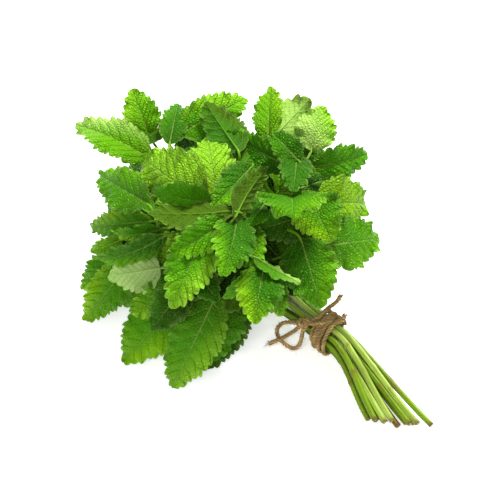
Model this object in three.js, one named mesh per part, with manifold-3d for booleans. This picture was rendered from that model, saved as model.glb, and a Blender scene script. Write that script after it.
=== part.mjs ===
// A bunch of cut mint lying on its side: twelve leafy stems held at the neck by a twine bow.
// Millimetres. The origin is on the table under the tie, +Y runs from the tie to the leaves, +Z is up.
import * as THREE from 'three';
import { mergeVertices } from 'three/addons/utils/BufferGeometryUtils.js';
import Module from 'manifold-3d';

const wasm = await Module();
wasm.setup();

const vec = (x, y, z) => new THREE.Vector3(x, y, z);
const rad = THREE.MathUtils.degToRad;

// Driving dimensions
const tieHeight = 11.7; // middle of the neck above the table
const neckHalf = 10; // straight length of the stems each side of the tie
const stemRadius = 2.05; // centre to corner of a square stem, at its cut end and the neck
const stemTipRadius = 1.2;
const petioleRadius = 0.85;
const petioleAtStem = 1.2; // thickness at the stem and at the blade, as a share of that radius
const petioleAtBlade = 0.95;
const bladeThickness = 0.7;
const room = 0.5; // how far a piece's corners are pushed out to keep its neighbours about 0.3 clear
const headMiddle = vec(-13, 72, 47); // the leafy head is a loose ellipsoid
const headReach = vec(78, 80, 46);
const cutLine = [vec(-23, -59, 0), vec(0, -86, 0)]; // the cut ends lie along this slanting line
const twineRadius = 1.35;
const wrapRadius = 10.8; // axis of the bunch to the middle of the twine
const wrapTurns = 4.5;
const wrapWidth = 11;
const wrapMiddle = -2.28; // along the bunch, so that one turn rests on the table right under the origin

// The leaves are placed across, up and above the table in a slanting view of the bunch,
// taken from 45 degrees to its left, 55 degrees up and a metre away, and measured from the tie.
const viewTurn = rad(-45);
const viewRise = rad(55);
const viewFar = 1000;
const viewMiddle = [45, -48]; // the tie, measured from the middle of that view
const tie = vec(0, 0, tieHeight);
const ahead = vec(-Math.sin(viewTurn), Math.cos(viewTurn), 0);
const across = vec(Math.cos(viewTurn), Math.sin(viewTurn), 0);
const upward = ahead.clone().multiplyScalar(Math.sin(viewRise)).setZ(Math.cos(viewRise));
const toViewer = ahead.clone().multiplyScalar(-Math.cos(viewRise)).setZ(Math.sin(viewRise));

function place([u, v, height]) {
  const side = u + viewMiddle[0];
  const rise = v + viewMiddle[1];
  const middle = tie.clone();
  middle.addScaledVector(across, -viewMiddle[0]).addScaledVector(upward, -viewMiddle[1]);
  const reach = height - middle.z - upward.z * rise;
  const nearer = reach / (toViewer.z - (upward.z * rise) / viewFar);
  const shrink = 1 - nearer / viewFar;
  middle.addScaledVector(across, side * shrink).addScaledVector(upward, rise * shrink);
  return middle.addScaledVector(toViewer, nearer);
}

// Stems: place in the neck (degrees round it, distance from its middle), share of the way along
// the line of cut ends, height of the cut end, and how far the tip leans out of the bunch's line.
const stems = [
  { round: 170, inset: 6.75, share: 0.0, height: 2.4, lean: 82 },
  { round: 210, inset: 6.75, share: 0.125, height: 2.4, lean: 56 },
  { round: 250, inset: 6.75, share: 0.25, height: 2.4, lean: 74 },
  { round: 270, inset: 2.55, share: 0.43, height: 2.4, lean: 18 },
  { round: 290, inset: 6.75, share: 0.62, height: 2.4, lean: 52 },
  { round: 330, inset: 6.75, share: 0.75, height: 2.4, lean: 76 },
  { round: 130, inset: 6.75, share: 0.06, height: 7.2, lean: 50 },
  { round: 150, inset: 2.55, share: 0.2, height: 7.2, lean: 26 },
  { round: 90, inset: 6.75, share: 0.34, height: 7.2, lean: 80 },
  { round: 30, inset: 2.55, share: 0.6, height: 7.2, lean: 24 },
  { round: 50, inset: 6.75, share: 0.73, height: 7.2, lean: 54 },
  { round: 10, inset: 6.75, share: 1.0, height: 4.2, lean: 78 },
];

// Leaves that show from the front: base and tip (across, up, height), width, roll about the
// midrib, arch along the leaf as a share of its length, fold at the midrib, and side shown.
const shownLeaves = [
  [[-106, 118, 66], [-116, 145, 82], 23, 0, 0.06, 12, 1],
  [[-107, 104, 72], [-150, 123, 74], 28, -22, 0.1, 26, 1],
  [[-93, 113, 76], [-88, 136, 70], 17, 0, 0.05, 10, 1],
  [[-113, 112, 68], [-95, 125, 74], 20, 62, 0.08, 10, -1],
  [[-73, 79, 89], [-111, 104, 79], 38, 10, 0.1, -6, 1],
  [[-69, 77, 96], [-103, 84, 98], 24, 30, 0.1, 14, 1],
  [[-66, 82, 84], [-71, 115, 81], 29, -8, 0.12, 12, 1],
  [[-53, 109, 90], [-73, 138, 80], 25, 0, 0.06, 14, -1],
  [[-85, 119, 72], [-47, 139, 72], 27, 0, 0.06, 8, 1],
  [[-34, 116, 77], [-32, 146, 78], 20, 20, 0.05, 20, 1],
  [[-30, 117, 73], [-9, 139, 76], 28, 0, 0.06, 10, -1],
  [[-8, 109, 66], [-2, 135, 78], 25, 0, 0.06, 8, 1],
  [[-6, 98, 78], [26, 106, 72], 22, -20, 0.1, 14, 1],
  [[-16, 102, 90], [-32, 119, 94], 17, 0, 0.06, 10, 1],
  [[-17, 103, 86], [-19, 82, 96], 20, 0, 0.08, 8, 1],
  [[-22, 98, 83], [-58, 119, 82], 20, 15, 0.1, 10, 1],
  [[-45, 97, 90], [-68, 73, 98], 20, 0, 0.1, 10, 1],
  [[-54, 68, 101], [-35, 98, 101], 18, -40, 0.05, 12, -1],
  [[-20, 80, 90], [-19, 66, 101], 42, 0, 0.12, 14, 1],
  [[-4, 76, 80], [26, 76, 58], 33, 0, 0.1, 10, 1],
  [[-10, 80, 79], [4, 53, 72], 31, 0, 0.1, 10, 1],
  [[-8, 71, 72], [-43, 59, 80], 27, 10, 0.08, 10, 1],
  [[-17, 71, 62], [-22, 49, 66], 25, 0, 0.08, 10, 1],
  [[3, 51, 68], [32, 55, 50], 33, 0, 0.08, -8, 1],
  [[-14, 53, 76], [-2, 13, 58], 33, 0, 0.1, -8, 1],
  [[-41, 43, 84], [-14, 29, 80], 13, 60, 0.05, 20, -1],
  [[-37, 36, 80], [-43, 4, 70], 27, 0, 0.1, 10, 1],
  [[-34, 32, 74], [-26, 8, 62], 17, 0, 0.1, 10, 1],
  [[-53, 66, 96], [-62, 32, 92], 26, 15, 0.1, 16, 1],
  [[-50, 61, 82], [-41, 36, 80], 23, 0, 0.1, 10, 1],
  [[-60, 65, 98], [-95, 45, 95], 20, 15, 0.12, 14, 1],
  [[-73, 56, 92], [-92, 13, 78], 28, 0, 0.12, 8, 1],
  [[-57, 71, 102], [-107, 71, 100], 24, -45, 0.05, 12, -1],
  [[-78, 36, 78], [-64, 17, 74], 18, 0, 0.08, 10, 1],
  [[-45, 34, 78], [-62, 19, 76], 14, 50, 0.05, 10, 1],
  [[-67, 17, 56], [-92, -36, 1], 32, 0, 0.08, -16, 1],
  [[-87, 19, 44], [-121, -19, 2], 35, 0, 0.08, -12, 1],
  [[-83, 28, 70], [-104, 0, 46], 22, 0, 0.08, 10, 1],
  [[-51, 16, 42], [-71, -25, 2], 25, 0, 0.06, 10, -1],
  [[-100, 37, 70], [-130, 32, 60], 25, 0, 0.06, 6, -1],
  [[-117, 40, 56], [-144, 6, 14], 24, 0, 0.08, -8, 1],
  [[-125, 46, 52], [-145, 25, 22], 17, 0, 0.06, 10, 1],
  [[-97, 56, 86], [-140, 41, 70], 20, 50, 0.08, 10, 1],
  [[-123, 54, 70], [-141, 47, 58], 12, 20, 0.08, 20, 1],
  [[-106, 65, 82], [-142, 62, 58], 18, 0, 0.08, 10, 1],
  [[-98, 61, 86], [-129, 58, 76], 15, 50, 0.08, 10, 1],
  [[-105, 73, 68], [-131, 76, 52], 17, 0, 0.06, 10, 1],
  [[-105, 70, 82], [-130, 83, 70], 18, 0, 0.06, 10, -1],
  [[-107, 76, 92], [-135, 93, 72], 26, 0, 0.08, 12, 1],
];

// Leaves round the back and underneath, and inside the head, spread evenly by the golden angle
const backLeaves = { count: 54, out: 0.6, length: 42, width: 32, teeth: 3, seed: 11 };
const innerLeaves = { count: 3, out: 0.46, length: 34, width: 26, teeth: 2, seed: 31 };
const goldenAngle = rad(137.5);
const spreadTries = 8;
const droop = 0.55; // how strongly these leaves hang towards the table
const broadLeaf = 31; // leaves this wide have four teeth a side, and the others three
const lieStep = 1.2; // leaves that reach the table lie in three layers, this far apart
const hiddenBelow = 0.12; // back leaves spread from the side turned away from the slanting view,
const neckClear = -0.62; // not from the end of the head near the tie
const innerClear = -0.4; // and neither do inner leaves
const spreadArch = 0.1;
const spreadFold = 10;

// The shape of a blade
const widestShare = 0.66; // a lower power moves its widest place towards the base
const bluntness = 0.7; // a lower power makes its base and tip blunter
const baseLobe = 0.06; // how far the base reaches back, as a share of the length
const marginWave = 0.06; // height of the margin's waves, as a share of the width
const wavesAlong = 14.5;
const toothOut = 1.08; // half width at a tooth and in a notch, as a share of the outline's
const toothIn = 0.9;

// Where the stems bend, and where a petiole may spring from them
const cutScatter = 5;
const bendBelowNeck = 14;
const bendAboveNeck = 22;
const tipBendBack = 20;
const leafyShare = 0.62; // the stems reach this share of the way out to the head's surface
const petiolePull = 14;
const stemGap = 3.6;
const petioleGap = 2.4;
const ownPetioleGap = 1.9;
const springGap = 3; // no more than two petioles spring from the same stretch of this length

// A repeatable number from 0 to 1 for each leaf
function chance(i, j) {
  const wild = Math.sin(i * 12.9898 + j * 78.233) * 43758.5453;
  return wild - Math.floor(wild);
}

function ellipsoidPoint(direction, out) {
  return direction.clone().multiply(headReach).multiplyScalar(out).add(headMiddle);
}

function shownLeaf([base, tip, width, roll, arch, fold, side], index) {
  const from = place(base);
  const to = place(tip);
  const along = to.clone().sub(from).normalize();
  const facing = toViewer.clone().projectOnPlane(along).normalize();
  facing.applyAxisAngle(along, rad(-roll)).multiplyScalar(side);
  const teeth = width < broadLeaf ? 3 : 4;
  return { from, to, facing, width, arch, fold, phase: index * 1.7, teeth, lie: (index % 3) * lieStep };
}

function spreadLeaf({ count, out, length, width, teeth, seed }, k, attempt) {
  const polar = Math.acos(1 - (2 * (k + 0.5)) / count);
  const turn = k * goldenAngle;
  const outward = vec(Math.sin(polar) * Math.cos(turn), Math.cos(polar), Math.sin(polar) * Math.sin(turn));
  const from = ellipsoidPoint(outward, out);
  const draw = (j) => chance(k, seed + 5 * attempt + j);
  const wander = vec(draw(0) - 0.5, draw(1) - 0.5, draw(2) - 0.5);
  const along = vec(0, 0.7, 0).projectOnPlane(outward);
  along.addScaledVector(outward, 0.6).addScaledVector(wander, 1.1);
  along.z -= droop;
  const size = 0.85 + 0.3 * draw(3);
  const to = from.clone().addScaledVector(along.normalize(), length * size);
  to.z = Math.max(to.z, 0);
  const facing = outward.clone().addScaledVector(wander, 0.6).projectOnPlane(along).normalize();
  const blade = { width: width * size, arch: spreadArch, fold: spreadFold, phase: k * 2.3, teeth };
  return { from, to, facing, ...blade, lie: (k % 3) * lieStep, outward };
}

function isHidden(outward) {
  const turnedAway = outward.dot(toViewer) < hiddenBelow;
  const clearOfNeck = outward.y > neckClear;
  return turnedAway && clearOfNeck;
}

// Half width of a blade as a share of its widest, from base to tip
const outline = (s) => Math.sin(Math.PI * Math.min(Math.max(s, 0), 1) ** widestShare) ** bluntness;

// The leaf's own directions: along it, the way its upper face looks, and to its side
function leafFrame(leaf) {
  const along = leaf.to.clone().sub(leaf.from).normalize();
  const facing = leaf.facing.clone().projectOnPlane(along).normalize();
  return { along, facing, aside: along.clone().cross(facing) };
}

// A point of a blade's middle surface: s runs from base to tip and t from edge to edge
function bladePoint(leaf, s, t, edge) {
  const { along, facing, aside } = leafFrame(leaf);
  const length = leaf.from.distanceTo(leaf.to);
  const half = (leaf.width / 2) * outline(s) * edge;
  const fold = rad(leaf.fold);
  const away = Math.abs(t);
  const lobe = baseLobe * length * t * t * Math.exp(-s / 0.1);
  const bow = leaf.arch * length * 4 * s * (1 - s);
  const rise = half * away * Math.sin(fold) * (1 - 0.5 * away);
  const wave = Math.sin(wavesAlong * s + leaf.phase + (t < 0 ? 2 : 0));
  const sway = marginWave * leaf.width * t * t * wave;
  const point = leaf.from.clone().addScaledVector(along, s * length - lobe);
  point.addScaledVector(aside, half * t * Math.cos(fold));
  point.addScaledVector(facing, bow + rise + sway);
  return point;
}

function bladeNormal(leaf, s, t, edge) {
  const step = 0.03;
  const middle = Math.min(s, 1 - 2 * step);
  const off = s === middle ? t : 0;
  const along = bladePoint(leaf, middle + step, off, edge).sub(bladePoint(leaf, middle - step, off, edge));
  const aside = bladePoint(leaf, middle, off + step, edge).sub(bladePoint(leaf, middle, off - step, edge));
  return aside.cross(along).normalize();
}

function samplePoints(leaf) {
  const shares = [0.1, 0.3, 0.5, 0.7, 0.9];
  return shares.flatMap((s) => [-0.8, 0, 0.8].map((t) => bladePoint(leaf, s, t, 1)));
}

function leastDistance(points, others) {
  let least = Infinity;
  for (const p of points) {
    for (const q of others) least = Math.min(least, p.distanceToSquared(q));
  }
  return Math.sqrt(least);
}

// Of several ways that a leaf could lie, the one with most room round it
function roomiest(kind, k, placed) {
  const ways = Array.from({ length: spreadTries }, (_, attempt) => spreadLeaf(kind, k, attempt));
  const room = ways.map((leaf) => leastDistance(samplePoints(leaf), placed));
  return ways[room.indexOf(Math.max(...room))];
}

// A stem runs from its cut end, straight through the neck, and fans out into the head
function bezierPoints(a, b, c, d, steps) {
  return new THREE.CubicBezierCurve3(a, b, c, d).getPoints(steps);
}

function stemRoute({ round, inset, share, height, lean }, index) {
  const turn = rad(round);
  const slot = vec(Math.cos(turn) * inset, 0, Math.sin(turn) * inset + tieHeight);
  const end = cutLine[0].clone().lerp(cutLine[1], share).setZ(height);
  const neckLow = slot.clone().setY(-neckHalf);
  const neckHigh = slot.clone().setY(neckHalf);
  const onward = end.clone().sub(neckLow).setZ(0).normalize();
  end.addScaledVector(onward, cutScatter * (chance(index, 5) - 0.5));
  const tilt = rad(lean);
  const outward = vec(Math.sin(tilt) * Math.cos(turn), Math.cos(tilt), Math.sin(tilt) * Math.sin(turn));
  const tip = ellipsoidPoint(outward, leafyShare);
  const lowBend = neckLow.clone().add(vec(0, -bendBelowNeck, 0));
  const endBend = end.clone().lerp(neckLow, 0.35).setZ(height);
  const highBend = neckHigh.clone().add(vec(0, bendAboveNeck, 0));
  const tipBend = tip.clone().addScaledVector(outward.clone().add(vec(0, 1, 0)), -tipBendBack);
  const low = bezierPoints(end, endBend, lowBend, neckLow, 3);
  const high = bezierPoints(neckHigh, highBend, tipBend, tip, 7);
  return [...low, ...high];
}

const routes = stems.map(stemRoute);
const firstLeafyPoint = 6; // the stems are bare below this point of their route
const stemTaper = (u) => THREE.MathUtils.lerp(stemRadius, stemTipRadius, Math.max(0, (u - 0.5) * 2));
const petioleRows = 2;
const loadShare = 1.5; // each leaf that a stem has makes it seem this much further away

function petioleRoute(start, leaf) {
  const { along } = leafFrame(leaf);
  const pull = Math.min(petiolePull, 0.45 * start.distanceTo(leaf.from));
  const bend = leaf.from.clone().addScaledVector(along, -pull);
  bend.z = Math.max(bend.z, petioleRadius + leaf.lie);
  return new THREE.QuadraticBezierCurve3(start, bend, leaf.from);
}

function filled(route) {
  const quarters = [0, 0.25, 0.5, 0.75];
  return route.slice(1).flatMap((point, k) => quarters.map((u) => route[k].clone().lerp(point, u)));
}

const denseRoutes = routes.map(filled);

// Each leaf springs from the nearest free point of a stem that its petiole can reach
// without touching another stem or another petiole
function attach(leaf, petioles) {
  const { along } = leafFrame(leaf);
  const wanted = leaf.from.clone().addScaledVector(along, -petiolePull);
  const leafyPart = (route) => route.slice(4 * firstLeafyPoint);
  const spots = denseRoutes.flatMap((route, stem) => leafyPart(route).map((start) => ({ stem, start })));
  const taken = petioles.map((p) => p.start);
  const free = spots.filter(({ start }) => taken.filter((t) => t.distanceTo(start) < springGap).length < 2);
  const load = (stem) => loadShare * petioles.filter((p) => p.stem === stem).length;
  free.forEach((spot) => { spot.cost = spot.start.distanceTo(wanted) + load(spot.stem); });
  free.sort((a, b) => a.cost - b.cost);
  let fallback = null;
  for (const { stem, start } of free) {
    const curve = petioleRoute(start, leaf);
    const near = curve.getPoints(12);
    const away = near.slice(4);
    const otherStems = denseRoutes.filter((_, k) => k !== stem).flat();
    const otherPetioles = petioles.filter((p) => p.stem !== stem).flatMap((p) => p.near);
    const ownPetioles = petioles.filter((p) => p.stem === stem).flatMap((p) => p.near);
    const found = { stem, start, curve, near, leaf };
    if (leastDistance(near, otherStems) > stemGap && leastDistance(near, otherPetioles) > petioleGap) {
      if (leastDistance(away, ownPetioles) > ownPetioleGap) return found;
      fallback ??= found;
    }
  }
  return fallback;
}

const leaves = shownLeaves.map(shownLeaf);
const placed = leaves.flatMap(samplePoints);
for (const kind of [backLeaves, innerLeaves]) {
  for (let k = 0; k < kind.count; k += 1) {
    const { outward } = spreadLeaf(kind, k, 0);
    const isWanted = kind === backLeaves ? isHidden(outward) : outward.y > innerClear;
    if (isWanted) {
      const leaf = roomiest(kind, k, placed);
      leaves.push(leaf);
      placed.push(...samplePoints(leaf));
    }
  }
}

const petioles = [];
for (const leaf of leaves) {
  const petiole = attach(leaf, petioles);
  if (petiole) petioles.push(petiole);
}

// A closed solid from a three.js shape; with room, every corner is pushed outwards by it
function solidOf(geometry, room = 0) {
  geometry.deleteAttribute('normal');
  geometry.deleteAttribute('uv');
  const merged = mergeVertices(geometry, 1e-4);
  const index = merged.index.array;
  const position = merged.attributes.position;
  const corners = Array.from({ length: position.count }, (_, k) => vec().fromBufferAttribute(position, k));
  const outwards = corners.map(() => vec());
  const kept = [];
  for (let i = 0; i < index.length; i += 3) {
    const [a, b, c] = [index[i], index[i + 1], index[i + 2]];
    if (a !== b && b !== c && c !== a) {
      const { normal } = new THREE.Plane().setFromCoplanarPoints(corners[a], corners[b], corners[c]);
      [a, b, c].forEach((k) => outwards[k].add(normal));
      kept.push(a, b, c);
    }
  }
  corners.forEach((corner, k) => corner.addScaledVector(outwards[k].normalize(), room));
  const vertProperties = new Float32Array(corners.flatMap((corner) => corner.toArray()));
  return new wasm.Manifold(new wasm.Mesh({ numProp: 3, vertProperties, triVerts: new Uint32Array(kept) }));
}

function reshape(geometry, move) {
  const position = geometry.attributes.position;
  for (let i = 0; i < position.count; i += 1) {
    const point = move(position.getX(i), position.getY(i), position.getZ(i));
    position.setXYZ(i, point.x, point.y, point.z);
  }
  return geometry;
}

// A leaf is one flat box: its first rows follow the petiole, and the rest are the blade
// with a row of teeth down each side
function leafSolid({ leaf, curve }, room) {
  const bladeRows = 2 * leaf.teeth + 1;
  const rows = petioleRows + bladeRows;
  const box = new THREE.BoxGeometry(1, 1, 1, 2, rows, 1);
  const index = Array.from(box.index.array);
  const under = box.groups[5];
  for (let i = under.start; i < under.start + under.count; i += 6) {
    const [a, b, d, , c] = index.slice(i, i + 6);
    index.splice(i, 6, a, b, c, a, c, d); // the same diagonals as on the upper face
  }
  box.setIndex(index);
  const { facing, aside } = leafFrame(leaf);

  function petiolePoint(u, t, face) {
    const onward = curve.getTangent(u);
    const side = aside.clone().projectOnPlane(onward).normalize();
    const up = side.clone().cross(onward);
    const radius = petioleRadius * THREE.MathUtils.lerp(petioleAtStem, petioleAtBlade, u);
    const point = curve.getPoint(u).addScaledVector(side, 0.85 * t * radius);
    return point.addScaledVector(up, face * radius * (t === 0 ? 1 : 0.5));
  }

  function leafPoint(x, y, z) {
    const row = Math.round((y + 0.5) * rows);
    const t = Math.round(2 * x);
    const face = Math.sign(z);
    if (row <= petioleRows) return petiolePoint(row / petioleRows, t, face);
    const isTooth = (row - petioleRows) % 2 === 1;
    const s = (row - petioleRows) / bladeRows;
    const edge = isTooth ? toothOut : toothIn;
    const lift = (face * bladeThickness) / 2;
    const point = bladePoint(leaf, s, t, edge).addScaledVector(bladeNormal(leaf, s, t, edge), lift);
    point.z = Math.max(point.z, leaf.lie + (face * facing.z > 0 ? bladeThickness : 0));
    return point;
  }

  return solidOf(reshape(box, leafPoint), room);
}

// A tube is a cylinder whose rings are moved to the points of a route
function tube(points, radiusAt, sides, room) {
  const steps = points.length - 1;
  const run = points[steps].clone().sub(points[0]).normalize();
  const guide = Math.abs(run.z) > 0.8 ? vec(1, 0, 0) : vec(0, 0, 1);
  const cylinder = new THREE.CylinderGeometry(1, 1, 1, sides, steps);
  const moved = reshape(cylinder, (x, y, z) => {
    const k = Math.round((y + 0.5) * steps);
    const before = points[Math.max(k - 1, 0)];
    const along = points[Math.min(k + 1, steps)].clone().sub(before).normalize();
    const aside = along.clone().cross(guide).normalize();
    const over = aside.clone().cross(along);
    const radius = radiusAt(k / steps);
    return points[k].clone().addScaledVector(aside, x * radius).addScaledVector(over, z * radius);
  });
  return solidOf(moved, room);
}

// Twine: turns round the neck, a knot on the front, a loop to the left and loose strands
function wrapRoute() {
  const stepsPerTurn = 12;
  const steps = stepsPerTurn * wrapTurns;
  return Array.from({ length: steps + 1 }, (_, k) => {
    const turn = (k / stepsPerTurn) * 2 * Math.PI;
    const along = wrapMiddle + (k / steps - 0.5) * wrapWidth + 2 * Math.sin(turn + 0.8);
    return vec(Math.cos(turn) * wrapRadius, along, Math.sin(turn) * wrapRadius + tieHeight);
  });
}

const knotPlace = [-12.5, 4, 20];
const knotRadius = 3.2;
const strands = [
  [
    knotPlace, [-24, 4.5, 16], [-28.5, 1, 11], [-28, -4, 7],
    [-24, -8.5, 4], [-19, -11, 4], [-15, -8, 8], knotPlace,
  ],
  [knotPlace, [-20, -1.5, 14], [-27, -5.5, 9], [-33.5, -8, 4]],
  [knotPlace, [-5, 7, 23], [2, 13, 24], [7, 17, 24], [9.5, 20.5, 24]],
  [knotPlace, [-2, 4, 23], [6, 4.5, 22], [10, 5.5, 21], [12, 9, 21]],
];

function strandRoute(places) {
  const curve = new THREE.CatmullRomCurve3(places.map(place));
  return curve.getPoints(places.length + 1);
}

function union(parts) {
  return wasm.Manifold.union(parts);
}

const twineRoutes = [wrapRoute(), ...strands.map(strandRoute)];
const twineParts = twineRoutes.map((route) => tube(route, () => twineRadius, 4));
const knot = new THREE.SphereGeometry(knotRadius, 7, 4);
knot.translate(...place(knotPlace).toArray());
twineParts.push(solidOf(knot));
const below = new THREE.BoxGeometry(100, 100, 20).translate(0, 0, -10);
const twine = union(twineParts).subtract(solidOf(below)); // flat where it rests on the table

const stemSolids = routes.map((route) => tube(route, stemTaper, 4));
const stemRooms = routes.map((route) => tube(route, stemTaper, 4, room));
const twineRooms = twineRoutes.map((route) => tube(route, () => twineRadius, 4, room));

// Cuts from a solid the room of every neighbour that its box reaches
function boxesMeet(a, b) {
  return [0, 1, 2].every((axis) => a.min[axis] < b.max[axis] && b.min[axis] < a.max[axis]);
}

function cleared(solid, rooms) {
  const box = solid.boundingBox();
  const near = rooms.filter((room) => boxesMeet(box, room.boundingBox()));
  return near.reduce((rest, room) => rest.subtract(room), solid);
}

// The tip of a leaf is pushed on, because its corners are too sharp to grow sideways
function lengthened({ leaf, curve }) {
  const { along } = leafFrame(leaf);
  return { curve, leaf: { ...leaf, to: leaf.to.clone().addScaledVector(along, 2 * room) } };
}

// The stems come first, then the leaves one by one, each clear of the pieces before it
const rooms = twineRooms.map((solid) => ({ stem: -1, solid }));
const roomsOfOthers = (stem) => rooms.filter((taken) => taken.stem !== stem).map((taken) => taken.solid);
const pieces = stemSolids.map((solid, stem) => {
  const piece = cleared(solid, roomsOfOthers(stem));
  rooms.push({ stem, solid: stemRooms[stem] });
  return [piece];
});
for (const petiole of petioles) {
  const { stem } = petiole;
  pieces[stem].push(cleared(leafSolid(petiole), roomsOfOthers(stem)));
  rooms.push({ stem, solid: leafSolid(lengthened(petiole), room) }, { stem, solid: leafSolid(petiole) });
}

function largestBody(solid) {
  return solid.decompose().reduce((best, body) => (body.volume() > best.volume() ? body : best));
}

function meshOf(solid, name, colour, roughness) {
  const { vertProperties, triVerts } = solid.getMesh();
  const geometry = new THREE.BufferGeometry();
  geometry.setAttribute('position', new THREE.BufferAttribute(vertProperties, 3));
  geometry.setIndex(new THREE.BufferAttribute(triVerts, 1));
  const material = new THREE.MeshStandardMaterial({ color: colour, roughness, metalness: 0 });
  const mesh = new THREE.Mesh(geometry, material);
  mesh.name = name;
  return mesh;
}

const group = new THREE.Group();
pieces.forEach((parts, k) => {
  const name = `leafy_stem_${String(k + 1).padStart(2, '0')}`;
  group.add(meshOf(largestBody(union(parts)), name, 0x4f9a24, 0.55));
});
group.add(meshOf(largestBody(twine), 'twine_tie', 0x8f6f42, 0.9));

export default group;
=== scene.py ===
# A tied bunch of fresh mint lying on its side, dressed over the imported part
import bpy
import bmesh
import numpy as np
from math import acos, cos, floor, pi, radians, sin
from mathutils import Matrix, Vector


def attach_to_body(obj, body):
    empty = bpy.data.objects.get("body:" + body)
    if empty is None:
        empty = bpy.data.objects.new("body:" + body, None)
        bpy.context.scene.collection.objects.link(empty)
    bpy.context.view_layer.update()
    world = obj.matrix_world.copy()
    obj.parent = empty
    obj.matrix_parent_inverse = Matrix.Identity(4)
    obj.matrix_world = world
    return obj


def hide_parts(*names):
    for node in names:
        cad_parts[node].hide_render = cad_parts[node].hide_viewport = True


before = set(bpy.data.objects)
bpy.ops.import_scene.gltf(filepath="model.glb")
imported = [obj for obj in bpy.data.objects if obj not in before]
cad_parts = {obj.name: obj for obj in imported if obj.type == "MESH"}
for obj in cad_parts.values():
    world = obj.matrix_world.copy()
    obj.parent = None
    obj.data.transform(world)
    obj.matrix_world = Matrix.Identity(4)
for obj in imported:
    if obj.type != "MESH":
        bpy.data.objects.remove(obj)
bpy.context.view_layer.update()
mm = 0.001  # everything is laid out in millimetres, in the part's own frame, and shrunk at the end
print("packed part loaded")


def vec(x, y, z):
    return np.array([x, y, z], float)


def unit(v):
    return v / np.linalg.norm(v)


def flatten(v, normal):
    return v - normal * np.dot(v, normal)  # the share of v that lies across the normal


# The slanting view that the leaves are placed in, which is also the camera's
view = {
    "turn": -45, "rise": 55, "far": 1000, "tieAcross": 45, "tieUp": -48, "tieHeight": 11.7,
    "lens": 120, "sensor": 36,
}

turnAngle = radians(view["turn"])
riseAngle = radians(view["rise"])
ahead = vec(-sin(turnAngle), cos(turnAngle), 0)
across = vec(cos(turnAngle), sin(turnAngle), 0)
upward = ahead * sin(riseAngle) + vec(0, 0, cos(riseAngle))
toViewer = ahead * -cos(riseAngle) + vec(0, 0, sin(riseAngle))
tie = vec(0, 0, view["tieHeight"])
viewMiddle = tie - across * view["tieAcross"] - upward * view["tieUp"]


def place(spot):
    side = spot[0] + view["tieAcross"]  # a spot is across, up and above the table, from the tie
    climb = spot[1] + view["tieUp"]
    reach = spot[2] - viewMiddle[2] - upward[2] * climb
    nearer = reach / (toViewer[2] - upward[2] * climb / view["far"])
    shrink = 1 - nearer / view["far"]
    return viewMiddle + (across * side + upward * climb) * shrink + toViewer * nearer


def makeCamera():
    data = bpy.data.cameras.new("camera")
    data.lens = view["lens"]
    data.sensor_width = view["sensor"]
    data.clip_start = 0.05
    camera = bpy.data.objects.new("camera", data)
    spot = (viewMiddle + toViewer * view["far"]) * mm
    turned = Matrix((across, upward, toViewer)).transposed().to_4x4()
    camera.matrix_world = Matrix.Translation(Vector(spot)) @ turned
    bpy.context.scene.collection.objects.link(camera)
    bpy.context.scene.camera = camera


# Colours as they look on a screen, 0 to 255
tones = {
    "lime": (154, 206, 44),
    "glow": (148, 202, 22),
    "fresh": (112, 182, 14),
    "mid": (76, 154, 6),
    "deep": (44, 120, 8),
    # This tone is painted shade, for leaves and leaf bases that lie under others
    "shade": (28, 84, 2),
    "olive": (64, 102, 2),
    "pale": (184, 220, 112),
    # This tone is the pale underside tone painted lighter, as painted light on a leaf that the lamps leave
    # in shade
    "paintedLitPale": (206, 238, 150),
    "stem": (124, 156, 28),
    "stemPale": (172, 196, 88),
    "stemDark": (76, 116, 12),
    "stemBrown": (120, 84, 46),
}
# How the veins show on each leaf tone: 0 pale on a darker leaf, 1 dark on a paler one
veinLook = {
    "lime": 1.0, "glow": 0.6, "fresh": 0.55, "mid": 0.26, "deep": 0.24, "shade": 0.24, "olive": 0.6,
    "pale": 0.6, "paintedLitPale": 0.5,
}


def linear(name):
    shares = np.array(tones[name]) / 255
    return np.where(shares <= 0.04045, shares / 12.92, ((shares + 0.055) / 1.055) ** 2.4)


# Each stem: degrees round the neck, distance from its middle, share of the way along the line of
# cut ends, height of the cut end, and how far the tip leans out
stemRows = [
    (170, 6.75, 0.0, 2.4, 82), (210, 6.75, 0.125, 2.4, 56), (250, 6.75, 0.25, 2.4, 74),
    (270, 2.55, 0.43, 2.4, 18), (290, 6.75, 0.62, 2.4, 52), (330, 6.75, 0.75, 2.4, 76),
    (130, 6.75, 0.06, 7.2, 50), (150, 2.55, 0.2, 7.2, 26), (90, 6.75, 0.34, 7.2, 80),
    (30, 2.55, 0.6, 7.2, 24), (50, 6.75, 0.73, 7.2, 54), (10, 6.75, 1.0, 4.2, 78),
]
bunch = {
    "neckHalf": 10,
    "headMiddle": vec(-13, 72, 47),
    "headReach": vec(78, 80, 46),
    "cutLine": (vec(-23, -59, 0), vec(0, -86, 0)),
    "firstLeafyPoint": 6,
    "tipReach": 0.62,
    "cutScatter": 5,
    "cutBend": 0.35,
    "lowBend": 14,
    "highBend": 22,
    "tipBend": 20,
}
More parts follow.
